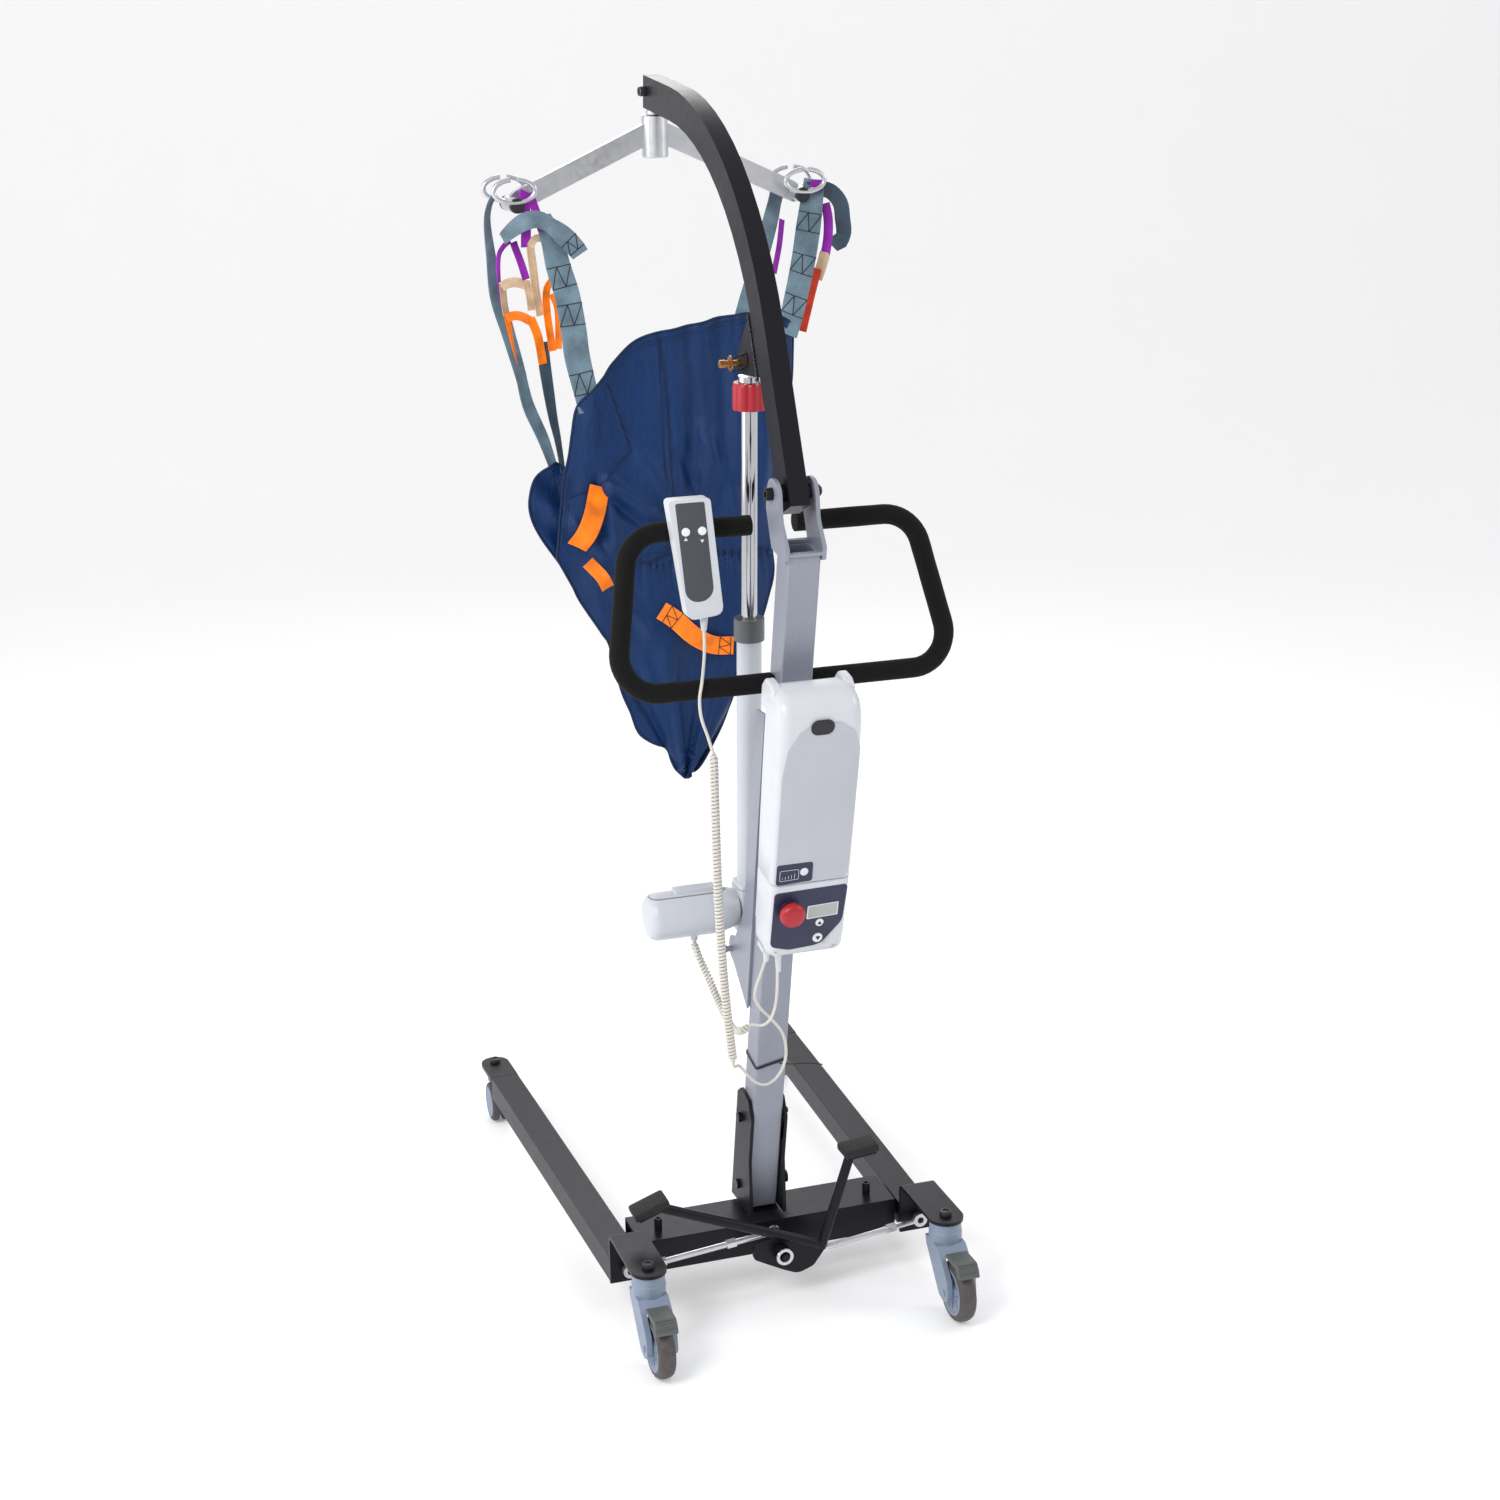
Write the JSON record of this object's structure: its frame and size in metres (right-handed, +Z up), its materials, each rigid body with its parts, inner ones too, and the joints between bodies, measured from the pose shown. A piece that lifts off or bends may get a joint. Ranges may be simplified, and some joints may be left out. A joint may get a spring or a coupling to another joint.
{
  "type": "patient lift hoist",
  "caption": "Mobile patient lift: leaning mast on spreading wheeled legs, cranked electric lifting boom, spreader bar with hanging fabric sling, push handle, battery box and corded handset",
  "frame": {"origin": "middle of the hoist's footprint on the floor, below the middle of its bounding box", "axes": "+Z up from the floor, +Y towards the front ends of the legs, +X to the right of a carer who stands behind the push handle, across the shortest side"},
  "size_m": [0.6132, 1.0838, 1.9256],
  "materials": {
    "alloy": "satin silver",
    "black_steel": "black oxide",
    "brake_green": "dark green-grey moulded",
    "brass_bolt": "yellow passivated zinc, brass colour",
    "button": "light grey",
    "caster_grey": "blue-grey moulded",
    "chrome": "polished",
    "cord": "off-white cable sheath",
    "dark_paint": "satin dark charcoal powder coat",
    "foam": "matte black closed-cell foam",
    "navy_fabric": "woven navy mesh",
    "red_plastic": "semi-gloss red",
    "rubber": "matte black",
    "silver_paint": "silver-grey metallic paint",
    "tyre": "dark brown-grey tread",
    "webbing": "grey-blue woven webbing",
    "white_plastic": "satin off-white",
    "zinc": "bright zinc plate"
  },
  "bodies": {
    "frame": {"cross_beam": "dark_paint", "mast_bracket": "dark_paint", "mast_tube": "silver_paint", "mast_clevis": "silver_paint", "mast_clamp_bolt": "black_steel", "mast_lock_knob": "black_steel", "boom_pivot_bolt": "black_steel", "handle_tube": "dark_paint", "left_foam_grip": "foam", "right_foam_grip": "foam", "actuator_mount": "silver_paint", "control_housing": "white_plastic", "cable_gland_block": "white_plastic", "handset_body": "white_plastic", "handset_cord_lead": "cord", "handset_cord_coil": "cord", "handset_cord_tail": "cord", "motor_lead_coil": "cord", "motor_lead_tail": "cord"},
    "pedal": {"pedal_lever": "dark_paint", "left_pedal_pad": "rubber", "right_pedal_pad": "rubber"},
    "boom": {"boom_tube": "dark_paint", "boom_lug": "dark_paint", "actuator_top_bolt": "brass_bolt"},
    "actuator": {"actuator_housing": "white_plastic", "actuator_motor": "white_plastic"},
    "rod": {"actuator_rod": "chrome"},
    "knob": {"lowering_knob": "red_plastic"},
    "hanger": {"hanger_stem": "alloy"},
    "spreader": {"spreader_bar": "alloy", "left_hook": "alloy", "right_hook": "alloy", "sling_body": "navy_fabric", "left_straps": "webbing", "right_straps": "webbing"},
    "battery": {"battery_pack": "white_plastic"},
    "stop": {"emergency_stop": "red_plastic"},
    "raise": {"raise_button": "button"},
    "lower": {"lower_button": "button"},
    "handset_up": {"handset_up_button": "button"},
    "handset_down": {"handset_down_button": "button"},
    "left_leg": {"left_leg_tube": "dark_paint", "left_caster_bracket": "dark_paint", "left_tip_plate": "dark_paint"},
    "left_tie": {"left_tie_rod": "zinc"},
    "left_rear_caster": {"left_rear_fork": "caster_grey"},
    "left_rear_roller": {"left_rear_wheel": "tyre"},
    "left_brake": {"left_brake_pedal": "brake_green"},
    "left_front_caster": {"left_front_fork": "caster_grey"},
    "left_front_roller": {"left_front_wheel": "tyre"},
    "right_leg": {"right_leg_tube": "dark_paint", "right_caster_bracket": "dark_paint", "right_tip_plate": "dark_paint"},
    "right_tie": {"right_tie_rod": "zinc"},
    "right_rear_caster": {"right_rear_fork": "caster_grey"},
    "right_rear_roller": {"right_rear_wheel": "tyre"},
    "right_brake": {"right_brake_pedal": "brake_green"},
    "right_front_caster": {"right_front_fork": "caster_grey"},
    "right_front_roller": {"right_front_wheel": "tyre"}
  },
  "joints": [
    {"name": "pedal_turn", "type": "hinge", "parent": "frame", "child": "pedal", "pos_m": [0, -0.338, 0.092], "axis": [0, 1, 0], "range_deg": [0, 22]},
    {"name": "boom_lift", "type": "hinge", "parent": "frame", "child": "boom", "pos_m": [0, -0.4207, 1.3597], "axis": [-1, 0, 0], "range_deg": [0, 50]},
    {"name": "actuator_swing", "type": "hinge", "parent": "frame", "child": "actuator", "pos_m": [0, -0.193, 0.572], "axis": [-1, 0, 0], "range_deg": [0, 3.8]},
    {"name": "rod_slide", "type": "slide", "parent": "actuator", "child": "rod", "axis": [0, 0.04, -0.9992], "range_m": [0, 0.206]},
    {"name": "lowering_knob_turn", "type": "hinge", "parent": "rod", "child": "knob", "pos_m": [0, -0.229, 1.472], "axis": [0, -0.04, 0.9992], "range_deg": [0, 90]},
    {"name": "hanger_pitch", "type": "hinge", "parent": "boom", "child": "hanger", "pos_m": [0, 0.238, 1.9], "axis": [1, 0, 0], "range_deg": [0, 50.2]},
    {"name": "spreader_swivel", "type": "hinge", "parent": "hanger", "child": "spreader", "pos_m": [0, 0.238, 1.83], "axis": [0, 0, 1], "continuous": true},
    {"name": "battery_lift", "type": "slide", "parent": "frame", "child": "battery", "axis": [0, -0.1963, 0.9805], "range_m": [0, 0.08]},
    {"name": "stop_press", "type": "slide", "parent": "frame", "child": "stop", "axis": [0, 0.9805, 0.1963], "range_m": [0, 0.004]},
    {"name": "raise_press", "type": "slide", "parent": "frame", "child": "raise", "axis": [0, 0.9805, 0.1963], "range_m": [0, 0.002], "stiffness_N_per_m": 300},
    {"name": "lower_press", "type": "slide", "parent": "frame", "child": "lower", "axis": [0, 0.9805, 0.1963], "range_m": [0, 0.002], "stiffness_N_per_m": 300},
    {"name": "handset_up_press", "type": "slide", "parent": "frame", "child": "handset_up", "axis": [0, 1, 0], "range_m": [0, 0.002], "stiffness_N_per_m": 300},
    {"name": "handset_down_press", "type": "slide", "parent": "frame", "child": "handset_down", "axis": [0, 1, 0], "range_m": [0, 0.002], "stiffness_N_per_m": 300},
    {"name": "left_leg_spread", "type": "hinge", "parent": "frame", "child": "left_leg", "pos_m": [-0.182, -0.25, 0.09], "axis": [0, 0, 1], "range_deg": [0, 8.5]},
    {"name": "left_tie_swing", "type": "hinge", "parent": "left_leg", "child": "left_tie", "pos_m": [-0.2505, -0.32, 0.096], "axis": [0, 0, -1], "range_deg": [0, 6.2]},
    {"name": "left_rear_swivel", "type": "hinge", "parent": "left_leg", "child": "left_rear_caster", "pos_m": [-0.2505, -0.428, 0.135], "axis": [0, 0, 1], "continuous": true},
    {"name": "left_rear_roll", "type": "hinge", "parent": "left_rear_caster", "child": "left_rear_roller", "pos_m": [-0.2505, -0.483, 0.05], "axis": [1, 0, 0], "continuous": true},
    {"name": "left_brake_press", "type": "hinge", "parent": "left_rear_caster", "child": "left_brake", "pos_m": [-0.2505, -0.471, 0.118], "axis": [1, 0, 0], "range_deg": [0, 8]},
    {"name": "left_front_swivel", "type": "hinge", "parent": "left_leg", "child": "left_front_caster", "pos_m": [-0.2806, 0.506, 0.09], "axis": [0, 0, 1], "continuous": true},
    {"name": "left_front_roll", "type": "hinge", "parent": "left_front_caster", "child": "left_front_roller", "pos_m": [-0.2806, 0.494, 0.0375], "axis": [1, 0, 0], "continuous": true},
    {"name": "right_leg_spread", "type": "hinge", "parent": "frame", "child": "right_leg", "pos_m": [0.182, -0.25, 0.09], "axis": [0, 0, -1], "range_deg": [0, 8.5]},
    {"name": "right_tie_swing", "type": "hinge", "parent": "right_leg", "child": "right_tie", "pos_m": [0.2505, -0.32, 0.096], "axis": [0, 0, 1], "range_deg": [0, 6.2]},
    {"name": "right_rear_swivel", "type": "hinge", "parent": "right_leg", "child": "right_rear_caster", "pos_m": [0.2505, -0.428, 0.135], "axis": [0, 0, 1], "continuous": true},
    {"name": "right_rear_roll", "type": "hinge", "parent": "right_rear_caster", "child": "right_rear_roller", "pos_m": [0.2505, -0.483, 0.05], "axis": [1, 0, 0], "continuous": true},
    {"name": "right_brake_press", "type": "hinge", "parent": "right_rear_caster", "child": "right_brake", "pos_m": [0.2505, -0.471, 0.118], "axis": [1, 0, 0], "range_deg": [0, 8]},
    {"name": "right_front_swivel", "type": "hinge", "parent": "right_leg", "child": "right_front_caster", "pos_m": [0.2806, 0.506, 0.09], "axis": [0, 0, 1], "continuous": true},
    {"name": "right_front_roll", "type": "hinge", "parent": "right_front_caster", "child": "right_front_roller", "pos_m": [0.2806, 0.494, 0.0375], "axis": [1, 0, 0], "continuous": true}
  ],
  "couplings": [
    {"joint": "actuator_swing", "follows": "boom_lift", "ratio": 0.0744},
    {"joint": "rod_slide", "follows": "boom_lift", "m_per_rad": 0.2337},
    {"joint": "hanger_pitch", "follows": "boom_lift", "ratio": 1},
    {"joint": "left_leg_spread", "follows": "pedal_turn", "ratio": 0.38636},
    {"joint": "left_tie_swing", "follows": "pedal_turn", "ratio": 0.28},
    {"joint": "right_leg_spread", "follows": "pedal_turn", "ratio": 0.38636},
    {"joint": "right_tie_swing", "follows": "pedal_turn", "ratio": 0.28}
  ]
}
